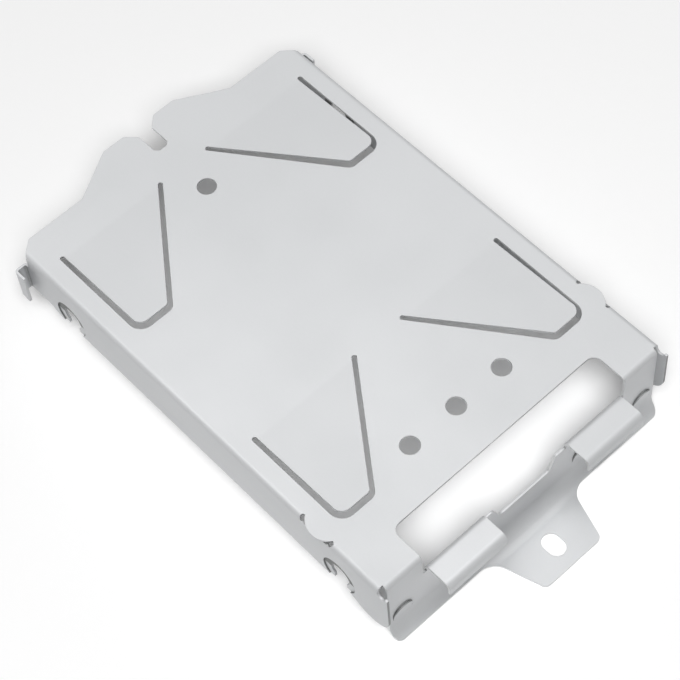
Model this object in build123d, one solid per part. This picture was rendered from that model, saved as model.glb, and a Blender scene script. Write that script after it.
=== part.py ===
from build123d import *
import os
from math import atan2, radians, sin, tan

# Mounting bracket for a 2.5 inch hard drive, made from one blank of thin steel sheet
# that is pierced, lanced and folded. The plate lies over the drive, two flanges run
# down its sides and take its screws, and the front wall ends in a lip with an ear.
# All sizes are in millimetres. While it is drawn, x is measured from the centre line,
# y from the front wall's outer face towards the rear, and z from the plate's top.

# Sheet
sheet = 0.5
bend_inside = 0.6

# Drive that the bracket holds
drive_width = 69.85
drive_side_gap = 0.4
drive_screw_pitch = 76.6

# Screw seats in the flanges
front_screw_y = 11.4
screw_line_depth = 9.4
seat_radius = 4.15
seat_depth = 0.3
screw_hole_radius = 2.4
screw_mouth_width = 3.2

# Plate, with square shoulders and a notched nose behind the rear screws
plate_behind_screws = 20.55
nose_length = 5.9
nose_rear_half_width = 9.1
nose_root_half_width = 19.3
shoulder_chamfer_width = 3.0
shoulder_chamfer_length = 2.6
notch_width = 3.4
notch_length = 7.75
notch_mouth_half_width = 3.9
notch_mouth_length = 2.2
notch_mouth_radius = 1.0
notch_floor_chamfer = 0.8
notch_floor_radius = 0.4
nose_root_radius = 1.5
rear_corner_radius = 0.8

# Side flanges
flange_front_y = -1.5
flange_depth = 12.5
flange_front_depth = 14.6
flange_front_radius = 4.5
flange_deep_until_y = 4.9
flange_slope_end_y = 8.8
flange_rear_depth = 11.5
flange_rear_length = 5.55
flange_step_length = 2.0
flange_edge_radius = 1.5

# Round holes in the plate
plate_hole_radius = 2.0
row_hole_pitch = 11.7
row_hole_y = 17.8
rear_hole_before_screws = 0.5

# Spring tongues, each cut free by a slot on three sides
tongue_length = 23.8
tongue_tip_width = 8.35
tongue_slant = 53.6
tongue_side_inset = 4.35
tongue_behind_front_screws = 3.3
tongue_before_rear_screws = 17.44
tongue_slot_width = 1.0
tongue_side_radius = 3.0
tongue_slant_radius = 2.0
tongue_rise = 1.0
tongue_bend_radius = 12.0

# Front wall, lip and ear
wall_end_inset = 1.425
lip_depth = 20.0
lip_bend_radius = 3.7
lip_reach = 2.15
lip_corner_radius = 1.6
ear_reach = 13.0
ear_root_half_width = 10.65
ear_tip_half_width = 7.2
ear_root_radius = 3.9
ear_tip_radius = 1.5
ear_slot_length = 5.2
ear_slot_width = 3.8
ear_slot_y = -7.75

# Opening over the drive's front end
opening_half_width = 25.8
opening_rear_y = 7.9
opening_corner_radius = 2.0
opening_foot_radius = 0.4
wall_edge_depth = 6.4
finger_dip_depth = 10.1
finger_dip_half_width = 6.3
finger_dip_slope = 1.8
finger_dip_radius = 0.9

# Rolled tabs on the front wall's edge
tab_inner_x = 10.5
tab_width = 14.35
tab_top_depth = 4.5
tab_rear_radius = 1.3
tab_front_radius = 1.5
tab_front_y = -5.9
tab_edge_depth = 7.5

# Half-round stops lanced out of the front wall
inner_stop_x = 15.0
outer_stop_end_gap = 3.3
stop_radius = 2.35
stop_depth = 13.4
stop_hinge_below = 1.2
stop_push = 0.6
stop_lance_gap = 0.08
stop_bend_radius = 2.0

# Lobe of the plate that stays flat beside each flange
lobe_y = 17.1
lobe_radius = 4.5
lobe_reach = 0.8
lobe_relief_margin = 0.05
lobe_gap = 0.4
lobe_relief_radius = 0.5

# Relief where the two bends of a front corner meet
corner_relief_radius = 1.0
corner_relief_y = 0.1
corner_relief_depth = 1.1

# Hooks at the rear end of the flanges
hook_top_depth = 4.1
hook_finger_depth = 12.0
hook_overhang = 1.45
hook_gap = 2.0
hook_finger_length = 3.0
hook_finger_tip = 1.0
hook_finger_radius = 0.4
hook_bend_inside = 0.3

# Places worked out from the sizes above
bend_outside = bend_inside + sheet
half_width = drive_width / 2 + drive_side_gap + sheet
flange_inner_x = half_width - sheet
rear_screw_y = front_screw_y + drive_screw_pitch
plate_length = rear_screw_y + plate_behind_screws
shoulder_y = plate_length - nose_length
flange_rear_y = shoulder_y - shoulder_chamfer_length
tongue_side_x = half_width - tongue_side_inset
tongue_tip_inner_x = tongue_side_x - tongue_tip_width
tongue_tip_y = front_screw_y + tongue_behind_front_screws
tongue_hinge_y = tongue_tip_y + tongue_length
tongue_pitch = rear_screw_y - tongue_before_rear_screws - tongue_tip_y
front_wall_half_width = half_width - wall_end_inset
stop_xs = (inner_stop_x, front_wall_half_width - outer_stop_end_gap)
hook_rear_y = flange_rear_y + hook_overhang

# Length by which a cutting shape runs past the sheet
cut_reach = 5.0


def folded_face(points, radii):
    """Closed section of the sheet that lies to the left of a line with rounded corners."""
    line = FilletPolyline(*points, radius=radii)
    return make_face(offset(line, amount=sheet, side=Side.LEFT, closed=True).edges())


def outline_face(points, radii):
    """Face inside a closed outline, with one radius for each corner."""
    return make_face(FilletPolyline(*points, radius=radii, close=True).edges())


def across(face, x_from, x_to):
    """Extrude a section drawn in (y, z) between two places across the bracket."""
    return extrude(Plane.YZ.offset(x_from) * face, amount=x_to - x_from)


def upright(face, z_from, z_to):
    """Extrude an outline drawn in (x, y) between two heights."""
    return extrude(Plane.XY.offset(z_from) * face, amount=z_to - z_from)


def through_wall(face, y_from, y_to):
    """Extrude an outline drawn in (x, z) between two places along the bracket."""
    return extrude(Plane.XZ.offset(-y_from) * face, amount=y_from - y_to)


def both_sides(shape):
    """A shape drawn on the right of the centre plane, with its mirror image on the left."""
    return shape + mirror(shape, about=Plane.YZ)


def box(x_from, x_to, y_from, y_to, z_from, z_to):
    """Block between two places along each axis."""
    size = Box(x_to - x_from, y_to - y_from, z_to - z_from, align=(Align.MIN,) * 3)
    return Pos(x_from, y_from, z_from) * size


def channel():
    """Plate with its two side flanges, cut to the flanges' side view."""
    depth = flange_front_depth + cut_reach
    step_end_y = flange_rear_y - flange_rear_length
    section = folded_face(
        [(half_width, -depth), (half_width, 0), (-half_width, 0), (-half_width, -depth)],
        bend_outside,
    )
    blank = through_wall(section, plate_length, flange_front_y)
    side_view = outline_face(
        [
            (flange_front_y, cut_reach),
            (flange_front_y, -flange_front_depth),
            (flange_deep_until_y, -flange_front_depth),
            (flange_slope_end_y, -flange_depth),
            (step_end_y - flange_step_length, -flange_depth),
            (step_end_y, -flange_rear_depth),
            (flange_rear_y, -flange_rear_depth),
            (flange_rear_y, -bend_outside),
            (plate_length + cut_reach, -bend_outside),
            (plate_length + cut_reach, cut_reach),
        ],
        [0, flange_front_radius] + [flange_edge_radius] * 4 + [0] * 4,
    )
    return blank & across(side_view, -half_width - cut_reach, half_width + cut_reach)


def rear_outline():
    """Plan view of the plate: square shoulders, a nose with sloped sides, a narrow notch."""
    notch = notch_width / 2
    floor_y = plate_length - notch_length
    half = [
        (notch - notch_floor_chamfer, floor_y),
        (notch, floor_y + notch_floor_chamfer),
        (notch, plate_length - notch_mouth_length),
        (notch_mouth_half_width, plate_length),
        (nose_rear_half_width, plate_length),
        (nose_root_half_width, shoulder_y),
        (half_width - shoulder_chamfer_width, shoulder_y),
        (half_width, flange_rear_y),
    ]
    radii = [notch_floor_radius] * 2 + [notch_mouth_radius] * 2
    radii += [rear_corner_radius, nose_root_radius, rear_corner_radius, rear_corner_radius]
    front = [(half_width, flange_front_y - cut_reach)]
    left = [(-x, y) for x, y in reversed(front + half[::-1])]
    return outline_face(half + front + left[::-1], radii + [0, 0] + radii[::-1])


def rear_trim():
    """What is cut off behind the plate's rear outline, down to the flanges' straight part."""
    reach = half_width + cut_reach
    around = Rectangle(2 * reach, 2 * (plate_length + cut_reach))
    return upright(around - rear_outline(), -bend_outside, cut_reach)


def front_wall():
    """Folded front: bend, wall, lip with its large round, and the ear, before its opening."""
    section = folded_face(
        [(opening_rear_y + cut_reach, 0), (0, 0), (0, -lip_depth), (-ear_reach, -lip_depth)],
        [bend_outside, lip_bend_radius],
    )
    blank = across(section, -front_wall_half_width, front_wall_half_width)
    behind = opening_rear_y + 2 * cut_reach
    half = [
        (ear_tip_half_width, -ear_reach),
        (ear_root_half_width, -lip_reach),
        (front_wall_half_width, -lip_reach),
        (front_wall_half_width, behind),
    ]
    left = [(-x, y) for x, y in half]
    radii = [ear_tip_radius, ear_root_radius, lip_corner_radius, 0]
    plan = outline_face(half + left[::-1], radii + radii[::-1])
    slot = Pos(0, ear_slot_y) * SlotOverall(ear_slot_length, ear_slot_width, rotation=90)
    return blank & upright(plan - slot, -lip_depth - cut_reach, cut_reach)


def plate_under_front_bend():
    """Flat end of the channel's plate, which the rounded front bend takes the place of."""
    x = front_wall_half_width
    return box(-x, x, flange_front_y - cut_reach, bend_outside, -bend_outside, cut_reach)


def front_opening():
    """Opening in the plate that runs over the front bend and down to the wall's edge."""
    plan = outline_face(
        [
            (opening_half_width, opening_rear_y),
            (-opening_half_width, opening_rear_y),
            (-opening_half_width, -cut_reach),
            (opening_half_width, -cut_reach),
        ],
        [opening_corner_radius, opening_corner_radius, 0, 0],
    )
    half = [
        (finger_dip_half_width, -finger_dip_depth),
        (finger_dip_half_width + finger_dip_slope, -wall_edge_depth),
        (opening_half_width, -wall_edge_depth),
        (opening_half_width, cut_reach),
    ]
    left = [(-x, z) for x, z in half]
    radii = [finger_dip_radius, finger_dip_radius, opening_foot_radius, 0]
    wall = outline_face(half + left[::-1], radii + radii[::-1])
    through = through_wall(wall, bend_outside, -cut_reach)
    return upright(plan, -bend_outside, cut_reach) + through


def rolled_tab():
    """Tab folded forward off the wall's edge and rolled down again in front of it."""
    section = folded_face(
        [
            (sheet, -finger_dip_depth),
            (sheet, -tab_top_depth),
            (tab_front_y, -tab_top_depth),
            (tab_front_y, -tab_edge_depth),
        ],
        [tab_rear_radius, tab_front_radius],
    )
    return across(section, tab_inner_x, tab_inner_x + tab_width)


def tongue_window():
    """Plan view of one tongue with its slot, left open behind the hinge line."""
    behind_y = tongue_hinge_y + cut_reach
    slant_run = (behind_y - tongue_tip_y) / tan(radians(tongue_slant))
    return outline_face(
        [
            (tongue_side_x, behind_y),
            (tongue_side_x, tongue_tip_y),
            (tongue_tip_inner_x, tongue_tip_y),
            (tongue_tip_inner_x - slant_run, behind_y),
        ],
        [0, tongue_side_radius, tongue_slant_radius, 0],
    )


def tongue_cut():
    """Opening for one tongue, and the tongue's own outline inside the slot's width."""
    window = tongue_window()
    reach = tongue_side_x + cut_reach
    ahead = Pos(0, tongue_hinge_y - reach) * Rectangle(2 * reach, 2 * reach)
    end_radius = tongue_slot_width / 2
    slant = radians(tongue_slant)
    slant_x = tongue_tip_inner_x - tongue_length / tan(slant)
    cut = window & ahead
    for x in (tongue_side_x - end_radius, slant_x + end_radius / sin(slant)):
        cut += Pos(x, tongue_hinge_y) * Circle(end_radius)
    return cut, offset(window, amount=-tongue_slot_width)


def spring_tongue(inside):
    """Tongue inside its slot, bent up along the hinge line so that its tip stands proud."""
    tip_y = tongue_tip_y + tongue_slot_width
    slope = atan2(tongue_rise, tongue_hinge_y - tip_y)
    bend_y = tongue_hinge_y - tongue_bend_radius * tan(slope / 2)
    far_y = tip_y - cut_reach
    section = folded_face(
        [
            (tongue_hinge_y + sheet, 0),
            (bend_y, 0),
            (far_y, (bend_y - far_y) * tan(slope)),
        ],
        tongue_bend_radius,
    )
    strip = across(section, 0, half_width)
    return strip & upright(inside, -cut_reach, cut_reach)


def screw_seat(y):
    """Round seat pressed into a flange, and the hole with its mouth that goes through it."""
    at_screw = Pos(0, y, -screw_line_depth)
    turn = Rot(0, 90, 0)
    outward = Pos(half_width - seat_depth, 0, 0)
    seat_cut = at_screw * outward * turn * Cylinder(
        seat_radius, cut_reach, align=(Align.CENTER, Align.CENTER, Align.MIN)
    )
    seat_floor = at_screw * outward * turn * Cylinder(
        seat_radius, sheet, align=(Align.CENTER, Align.CENTER, Align.MAX)
    )
    floor_trim = box(0, half_width, y - seat_radius, y + seat_radius, -flange_depth, 0)
    hole = at_screw * Pos(half_width, 0, 0) * turn * Cylinder(screw_hole_radius, 2 * cut_reach)
    mouth_half = screw_mouth_width / 2
    mouth = box(
        half_width - cut_reach,
        half_width + cut_reach,
        y - mouth_half,
        y + mouth_half,
        -flange_front_depth - cut_reach,
        -screw_line_depth,
    )
    return seat_cut, seat_floor & floor_trim, hole + mouth


def wall_stop(x):
    """Half-round stop: lanced round its top, bent forward about a line below it."""
    hinge_z = -stop_depth - stop_hinge_below
    height = stop_radius + stop_hinge_below
    tilt = atan2(stop_push, height)
    bend_z = hinge_z + stop_bend_radius * tan(tilt / 2)
    above_hinge = Pos(x, hinge_z + height) * Rectangle(4 * stop_radius, 2 * height)
    below = Pos(x, hinge_z) * Rectangle(2 * stop_radius, 2 * stop_hinge_below)
    lance = Pos(x, -stop_depth) * Circle(stop_radius) + below
    section = folded_face(
        [(-2 * height * tan(tilt), bend_z + 2 * height), (0, bend_z), (0, hinge_z - sheet)],
        stop_bend_radius,
    )
    strip = across(section, x - 2 * stop_radius, x + 2 * stop_radius)
    flap_outline = offset(lance, amount=-stop_lance_gap)
    flap = strip & through_wall(flap_outline, cut_reach, -cut_reach)
    return through_wall(lance & above_hinge, cut_reach, -cut_reach), flap


def edge_lobe():
    """Round lobe of the plate beside a flange, and the relief that frees it from the bend."""
    lobe_x = half_width + lobe_reach - lobe_radius
    lobe = upright(Pos(lobe_x, lobe_y) * Circle(lobe_radius), -sheet, 0)
    bend_start = half_width - bend_outside
    half_chord = (lobe_radius**2 - (bend_start - lobe_x) ** 2) ** 0.5
    half_length = half_chord + lobe_relief_margin
    relief = box(
        bend_start,
        half_width + cut_reach,
        lobe_y - half_length,
        lobe_y + half_length,
        -sheet - lobe_gap,
        cut_reach,
    )
    for side in (-1, 1):
        end = Pos(half_width - bend_outside / 2, lobe_y + side * half_length, 0)
        relief += end * Cylinder(lobe_relief_radius, 4 * bend_outside)
    return relief, lobe


def corner_relief():
    """Round relief that keeps the side bend and the front bend apart at a corner."""
    x_from = front_wall_half_width
    centre = Pos(x_from, corner_relief_y, -corner_relief_depth)
    round_hole = centre * Rot(0, 90, 0) * Cylinder(
        corner_relief_radius, cut_reach, align=(Align.CENTER, Align.CENTER, Align.MIN)
    )
    ahead = box(
        x_from,
        x_from + cut_reach,
        flange_front_y - cut_reach,
        corner_relief_y,
        -corner_relief_depth,
        cut_reach,
    )
    above = box(
        x_from,
        x_from + cut_reach,
        corner_relief_y,
        corner_relief_y + corner_relief_radius,
        -corner_relief_depth,
        cut_reach,
    )
    return round_hole + ahead + above


def rear_hook():
    """Flange end turned outwards and forwards again, so that it hooks over a rail."""
    finger_x = half_width + hook_gap + sheet
    finger_y = hook_rear_y - hook_finger_length
    plan = FilletPolyline(
        (flange_inner_x, flange_rear_y - cut_reach),
        (flange_inner_x, hook_rear_y),
        (finger_x, hook_rear_y),
        (finger_x, finger_y),
        radius=hook_bend_inside + sheet,
    )
    section = make_face(offset(plan, amount=sheet, side=Side.RIGHT, closed=True).edges())
    hook = upright(section, -hook_finger_depth, -hook_top_depth)
    finger_side = outline_face(
        [
            (finger_y, -hook_top_depth),
            (hook_rear_y + cut_reach, -hook_top_depth),
            (hook_rear_y + cut_reach, -flange_rear_depth),
            (hook_rear_y, -flange_rear_depth),
            (finger_y + hook_finger_tip, -hook_finger_depth),
            (finger_y, -hook_finger_depth),
        ],
        [0, 0, 0, 0, hook_finger_radius, hook_finger_radius],
    )
    wing = box(0, finger_x - sheet, 0, plate_length, -flange_rear_depth, 0)
    finger = across(finger_side, finger_x - sheet, finger_x)
    return hook & (wing + finger)


def bracket():
    """The whole bracket: the folded channel and front, then what is cut and bent in them."""
    body = channel() - rear_trim()
    body -= plate_under_front_bend()
    body += front_wall()

    holes = [(n * row_hole_pitch, row_hole_y) for n in (-1, 0, 1)]
    holes.append((0, rear_screw_y - rear_hole_before_screws))
    for x, y in holes:
        body -= Pos(x, y, 0) * Cylinder(plate_hole_radius, 4 * sheet)

    body -= front_opening()
    body += both_sides(rolled_tab())
    body -= both_sides(corner_relief())

    relief, lobe = edge_lobe()
    body = body - both_sides(relief) + both_sides(lobe)

    cut, inside = tongue_cut()
    tongue = spring_tongue(inside)
    window = upright(cut, -cut_reach, cut_reach)
    for n in range(2):
        along = Pos(0, n * tongue_pitch, 0)
        body -= both_sides(along * window)
        body += both_sides(along * tongue)

    for n in range(2):
        seat_cut, seat_floor, hole = screw_seat(front_screw_y + n * drive_screw_pitch)
        body = body - both_sides(seat_cut) + both_sides(seat_floor) - both_sides(hole)

    for x in stop_xs:
        window, flap = wall_stop(x)
        body = body - both_sides(window) + both_sides(flap)

    body += both_sides(rear_hook())
    return body


# The finished bracket is set down with the middle of its footprint at the origin.
set_down = Pos(0, (ear_reach - plate_length) / 2, lip_depth + sheet)
drive_bracket = set_down * bracket()

os.makedirs("parts", exist_ok=True)
export_step(drive_bracket, "parts/drive_bracket.step")
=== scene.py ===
from math import cos, pi, radians, sin

import bpy
from mathutils import Matrix, Vector

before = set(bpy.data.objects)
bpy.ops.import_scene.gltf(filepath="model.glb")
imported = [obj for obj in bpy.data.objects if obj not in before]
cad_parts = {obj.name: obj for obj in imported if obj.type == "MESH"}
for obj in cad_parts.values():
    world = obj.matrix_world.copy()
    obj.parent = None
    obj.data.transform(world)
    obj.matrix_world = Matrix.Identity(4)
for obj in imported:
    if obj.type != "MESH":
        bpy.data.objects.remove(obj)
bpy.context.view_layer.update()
bpy.ops.object.select_all(action="DESELECT")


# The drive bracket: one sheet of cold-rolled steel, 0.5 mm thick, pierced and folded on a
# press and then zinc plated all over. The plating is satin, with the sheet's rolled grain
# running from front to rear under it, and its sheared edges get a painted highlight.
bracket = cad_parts["drive_bracket"]
sheet_thickness = 0.0005
edge_zone = 1.1 * sheet_thickness
plate_top = 0.0205
bend_start_x = 0.0345
zinc_colour = (0.65, 0.659, 0.67, 1)
zinc_cloud_colour = (0.627, 0.637, 0.647, 1)
# A lighter colour painted on the sheared faces as a highlight.
sheared_highlight_colour = (0.805, 0.812, 0.818, 1)
zinc_metallic = 0.35
zinc_roughness = (0.5, 0.6)
grain_roughness = 0.03
cloud_size = 0.03
cloud_range = (0.35, 0.65)
cloud_share = 0.7
speckle_size = 0.00035
speckle_share = 0.3
noise_range = (0.3, 0.7)
grain_width = 0.00012
grain_stretch = 0.03
grain_strength = 0.06
grain_height = 0.00002
edge_round = 0.00012
# Painted shade in seams, lanced gaps, inner corners, the seats' upper rims and the flange ends.
seam_reach = 0.0009
seam_closed = 0.5
seam_open = 0.96
seam_shade_colour = (0.12, 0.125, 0.12, 1)
seam_shade_depth = 0.9
screw_middle_y = 0.001925
screw_half_pitch = 0.0383
screw_height = 0.0111
seat_radius = 0.00415
seat_shade_band = 0.0018
flange_end_y = -0.049
flange_end_shade = 0.7

# How far a face's normal leans for it to count as upright, sideways or forwards.
upright_below = 0.3
sideways_above = 0.8
forwards_below = -0.7

zinc = bpy.data.materials.new("satin_zinc_on_rolled_steel")
zinc.use_nodes = True
nodes = zinc.node_tree.nodes
links = zinc.node_tree.links
surface = nodes["Principled BSDF"]
surface.inputs["Metallic"].default_value = zinc_metallic


def add_node(kind, label, **settings):
    """A node with its settings, in whichever material or world is being made."""
    node = nodes.new(kind)
    node.label = label
    for name, value in settings.items():
        setattr(node, name, value)
    return node


def noise(label, vector, size, detail, roughness=0.5):
    """Noise whose blotches are about as wide as the size given, in metres."""
    node = add_node("ShaderNodeTexNoise", label)
    node.inputs["Scale"].default_value = 1 / size
    node.inputs["Detail"].default_value = detail
    node.inputs["Roughness"].default_value = roughness
    links.new(vector, node.inputs["Vector"])
    return node.outputs["Fac"]


def remap(label, value, low, high, to_low, to_high):
    """A value taken from one range to another and held inside it."""
    node = add_node("ShaderNodeMapRange", label)
    node.inputs["From Min"].default_value = low
    node.inputs["From Max"].default_value = high
    node.inputs["To Min"].default_value = to_low
    node.inputs["To Max"].default_value = to_high
    links.new(value, node.inputs["Value"])
    return node.outputs["Result"]


def combine(label, operation, first, second=0):
    """A math node on one value or two; the second may be a plain number."""
    node = add_node("ShaderNodeMath", label, operation=operation)
    for socket, value in zip(node.inputs, (first, second)):
        if isinstance(value, (int, float)):
            socket.default_value = value
        else:
            links.new(value, socket)
    return node.outputs["Value"]


place = add_node("ShaderNodeTexCoord", "place on the sheet").outputs["Object"]
stretched = add_node("ShaderNodeMapping", "drawn out along the rolling")
stretched.inputs["Scale"].default_value = (1, grain_stretch, 1)
links.new(place, stretched.inputs["Vector"])

clouds = noise("plating clouds", place, cloud_size, 3)
grain = noise("rolled grain", stretched.outputs["Vector"], grain_width, 4, 0.6)
speckle = noise("crystal speckle", place, speckle_size, 2)

# A sheared face stands upright in the thickness of the plate or of the foot, or faces
# sideways between the flanges, as the ends of the tabs do.
axes = add_node("ShaderNodeSeparateXYZ", "place by axis")
links.new(place, axes.inputs["Vector"])
true_normal = add_node("ShaderNodeNewGeometry", "face direction").outputs["True Normal"]
facing = add_node("ShaderNodeSeparateXYZ", "facing by axis")
links.new(true_normal, facing.inputs["Vector"])
tilt = combine("tilt", "ABSOLUTE", facing.outputs["Z"])
upright = combine("upright face", "LESS_THAN", tilt, upright_below)
turn = combine("turn", "ABSOLUTE", facing.outputs["X"])
sideways = combine("sideways face", "GREATER_THAN", turn, sideways_above)
in_plate = combine("in the plate", "GREATER_THAN", axes.outputs["Z"], plate_top - edge_zone)
in_foot = combine("in the foot", "LESS_THAN", axes.outputs["Z"], edge_zone)
off_centre = combine("off centre", "ABSOLUTE", axes.outputs["X"])
inside_bend = combine("inside the bends", "LESS_THAN", off_centre, bend_start_x)
in_level = combine("plate or foot", "MAXIMUM", in_plate, in_foot)
sheared = combine("sheared in its level", "MULTIPLY", upright, in_level)
sheared = combine("sheared anywhere", "MAXIMUM", sheared, sideways)
sheared = combine("sheared", "MULTIPLY", sheared, inside_bend)

cloud_mix = add_node("ShaderNodeMix", "clouded zinc", data_type="RGBA")
cloud_mix.inputs["A"].default_value = zinc_colour
cloud_mix.inputs["B"].default_value = zinc_cloud_colour
cloudiness = combine(
    "cloud and speckle",
    "ADD",
    remap("cloud strength", clouds, *cloud_range, 0, cloud_share),
    remap("speckle strength", speckle, *noise_range, 0, speckle_share),
)
links.new(cloudiness, cloud_mix.inputs["Factor"])

# The sheared faces get a painted highlight: a lighter colour mixed into the zinc.
edge_highlight_mix = add_node("ShaderNodeMix", "zinc with painted highlight on sheared edges", data_type="RGBA")
edge_highlight_mix.inputs["B"].default_value = sheared_highlight_colour
links.new(sheared, edge_highlight_mix.inputs["Factor"])
links.new(cloud_mix.outputs["Result"], edge_highlight_mix.inputs["A"])

# Painted shade: the colour is darkened in the seams, the lanced gaps and the inner corners,
# more where they are closed in.
openness = add_node("ShaderNodeAmbientOcclusion", "open to the air", samples=8, only_local=True)
openness.inputs["Distance"].default_value = seam_reach
links.new(true_normal, openness.inputs["Normal"])
seam = remap("painted shade in seams", openness.outputs["AO"], seam_closed, seam_open, seam_shade_depth, 0)

# Each screw seat is pressed into its flange, and the band under its upper rim gets painted
# shade: its colour is darkened there.
from_middle = combine("from the middle", "SUBTRACT", axes.outputs["Y"], screw_middle_y)
from_middle = combine("to either side", "ABSOLUTE", from_middle)
along = combine("along from the screw", "SUBTRACT", from_middle, screw_half_pitch)
above = combine("above the screw", "SUBTRACT", axes.outputs["Z"], screw_height)
upper_half = remap("upper half of a seat", above, 0, edge_round, 0, 1)
along = combine("along squared", "POWER", along, 2)
above = combine("above squared", "POWER", above, 2)
from_screw = combine("from the screw", "SQRT", combine("squares", "ADD", along, above))
seat_shade_start = seat_radius - seat_shade_band
corner = remap("painted shade in a seat corner", from_screw, seat_shade_start, seat_shade_start + edge_round, 0, seam_shade_depth)
in_seat = combine("in the seat", "LESS_THAN", from_screw, seat_radius)
on_flange = combine("on a flange", "GREATER_THAN", off_centre, bend_start_x)
seat = combine("seat on a flange", "MULTIPLY", in_seat, on_flange)
corner = combine("corner of a seat", "MULTIPLY", corner, seat)
corner = combine("painted shade under a seat's upper rim", "MULTIPLY", corner, upper_half)
seam = combine("seams and seats", "MAXIMUM", seam, corner)

# The front end of each flange stands in the seam beside the front wall and gets painted shade.
forwards = combine("facing forwards", "LESS_THAN", facing.outputs["Y"], forwards_below)
at_front = combine("at the front", "LESS_THAN", axes.outputs["Y"], flange_end_y)
flange_end = combine("front end", "MULTIPLY", forwards, at_front)
flange_end = combine("front end of a flange", "MULTIPLY", flange_end, on_flange)
flange_end = combine("shaded end", "MULTIPLY", flange_end, flange_end_shade)
seam = combine("seams, seats and ends", "MAXIMUM", seam, flange_end)
seam_shade_mix = add_node("ShaderNodeMix", "zinc with painted shade in seams", data_type="RGBA")
seam_shade_mix.inputs["B"].default_value = seam_shade_colour
links.new(seam, seam_shade_mix.inputs["Factor"])
links.new(edge_highlight_mix.outputs["Result"], seam_shade_mix.inputs["A"])
links.new(seam_shade_mix.outputs["Result"], surface.inputs["Base Color"])

uneven = combine(
    "uneven plating",
    "ADD",
    remap("grain in the shine", grain, *noise_range, -grain_roughness, grain_roughness),
    remap("cloud in the shine", clouds, *noise_range, *zinc_roughness),
)
links.new(uneven, surface.inputs["Roughness"])

softened = add_node("ShaderNodeBevel", "edges eased by the plating", samples=4)
softened.inputs["Radius"].default_value = edge_round
bumps = add_node("ShaderNodeBump", "grain you can feel")
bumps.inputs["Strength"].default_value = grain_strength
bumps.inputs["Distance"].default_value = grain_height
links.new(grain, bumps.inputs["Height"])
links.new(softened.outputs["Normal"], bumps.inputs["Normal"])
links.new(bumps.outputs["Normal"], surface.inputs["Normal"])

for material_slot in bracket.material_slots:
    material_slot.material = zinc


# The table: a matt white board under the bracket, which touches it with its ear. The board
# keeps the soft shadow, and what the camera and the metal see of it is lifted towards white.
table_colour = (0.93, 0.93, 0.93, 1)
table_lift = 0.095
table_width = 6

bpy.ops.mesh.primitive_plane_add(size=table_width, location=(0, 0, 0))
table = bpy.context.object
table.name = "table"

board = bpy.data.materials.new("matt_white_board")
board.use_nodes = True
nodes = board.node_tree.nodes
links = board.node_tree.links
board_surface = nodes["Principled BSDF"]
board_surface.inputs["Base Color"].default_value = table_colour
board_surface.inputs["Roughness"].default_value = 1
board_surface.inputs["Specular IOR Level"].default_value = 0


def seen_directly(label):
    """1 for what the camera sees, alone or in metal or glass, and 0 for the light it gives."""
    path = add_node("ShaderNodeLightPath", label).outputs
    seen = combine("eye or metal", "MAXIMUM", path["Is Camera Ray"], path["Is Glossy Ray"])
    return combine("eye, metal or glass", "MAXIMUM", seen, path["Is Transmission Ray"])


board_seen = seen_directly("what sees the board")
lift = add_node("ShaderNodeEmission", "lift to white")
links.new(combine("lift", "MULTIPLY", board_seen, table_lift), lift.inputs["Strength"])
lifted = add_node("ShaderNodeAddShader", "lifted board")
links.new(board_surface.outputs["BSDF"], lifted.inputs[0])
links.new(lift.outputs["Emission"], lifted.inputs[1])
links.new(lifted.outputs["Shader"], nodes["Material Output"].inputs["Surface"])
table.data.materials.append(board)


# The studio's light: a room that shows as white, a soft box on the camera's side that lights
# only the table, and a wide one overhead, a little to the left, that lights only the bracket.
# The table's box shines through the opening, so that the table is white there too.
room_strength = 0.01
table_box_strength = 0.97
table_box_width = 0.84
table_box_distance = 1.8
table_box_azimuth = radians(-38)
table_box_elevation = radians(59)
overhead_brightness = 2.92
overhead_width = 0.9
overhead_distance = 0.9
overhead_azimuth = radians(-90)
overhead_elevation = radians(84)


def towards(azimuth, elevation):
    """Direction from the bracket; azimuth 0 is in front of it and grows towards its right."""
    level_part = cos(elevation)
    return Vector((sin(azimuth) * level_part, -cos(azimuth) * level_part, sin(elevation)))


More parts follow.
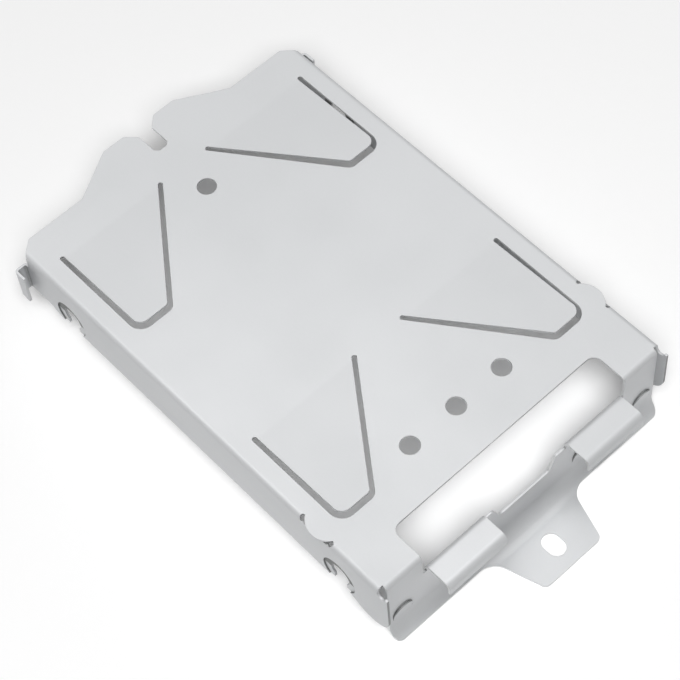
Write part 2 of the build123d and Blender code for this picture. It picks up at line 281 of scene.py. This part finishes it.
def hang_lamp(name, width, place, energy, lit_piece):
    """A square lamp at a place, turned to face the bracket, that lights one piece."""
    bpy.ops.object.light_add(type="AREA", location=place)
    lamp = bpy.context.object
    lamp.name = name
    lamp.data.shape = "SQUARE"
    lamp.data.size = width
    lamp.data.energy = energy
    lamp.rotation_euler = (-place).to_track_quat("-Z", "Y").to_euler()
    lamp.light_linking.receiver_collection = bpy.data.collections.new(name + "_lights")
    lamp.light_linking.receiver_collection.objects.link(lit_piece)


world = bpy.data.worlds.new("studio_room")
bpy.context.scene.world = world
world.use_nodes = True
nodes = world.node_tree.nodes
links = world.node_tree.links
background = nodes["Background"]
background.inputs["Color"].default_value = (1, 1, 1, 1)
room_seen = seen_directly("what sees the room")
links.new(remap("room light", room_seen, 0, 1, room_strength, 1), background.inputs["Strength"])

table_box_place = table_box_distance * towards(table_box_azimuth, table_box_elevation)
table_box_energy = table_box_strength * pi**2 * table_box_distance**2 / sin(table_box_elevation)
hang_lamp("table_box", table_box_width, table_box_place, table_box_energy, table)
overhead_place = overhead_distance * towards(overhead_azimuth, overhead_elevation)
overhead_energy = overhead_brightness * pi * overhead_width**2
hang_lamp("overhead_box", overhead_width, overhead_place, overhead_energy, bracket)


# The camera: a long lens that looks down on the bracket from its front left corner.
# It is tipped a little to one side, so that upright edges lean to the left.
picture_width_px = 680
focal_length_px = 2157.6
sensor_width_mm = 36
camera_aim = Vector((-0.0055, -0.00465, plate_top))
camera_distance = 0.4025
camera_azimuth = radians(-37.72)
camera_elevation = radians(58.14)
camera_roll = radians(6)

back = towards(camera_azimuth, camera_elevation)
bpy.ops.object.camera_add(location=camera_aim + back * camera_distance)
camera = bpy.context.object
camera.data.sensor_width = sensor_width_mm
camera.data.lens = sensor_width_mm * focal_length_px / picture_width_px
level = (-back).to_track_quat("-Z", "Y").to_matrix()
camera.rotation_euler = (level @ Matrix.Rotation(-camera_roll, 3, "Z")).to_euler()
bpy.context.scene.camera = camera
bpy.context.scene.view_settings.view_transform = "Standard"
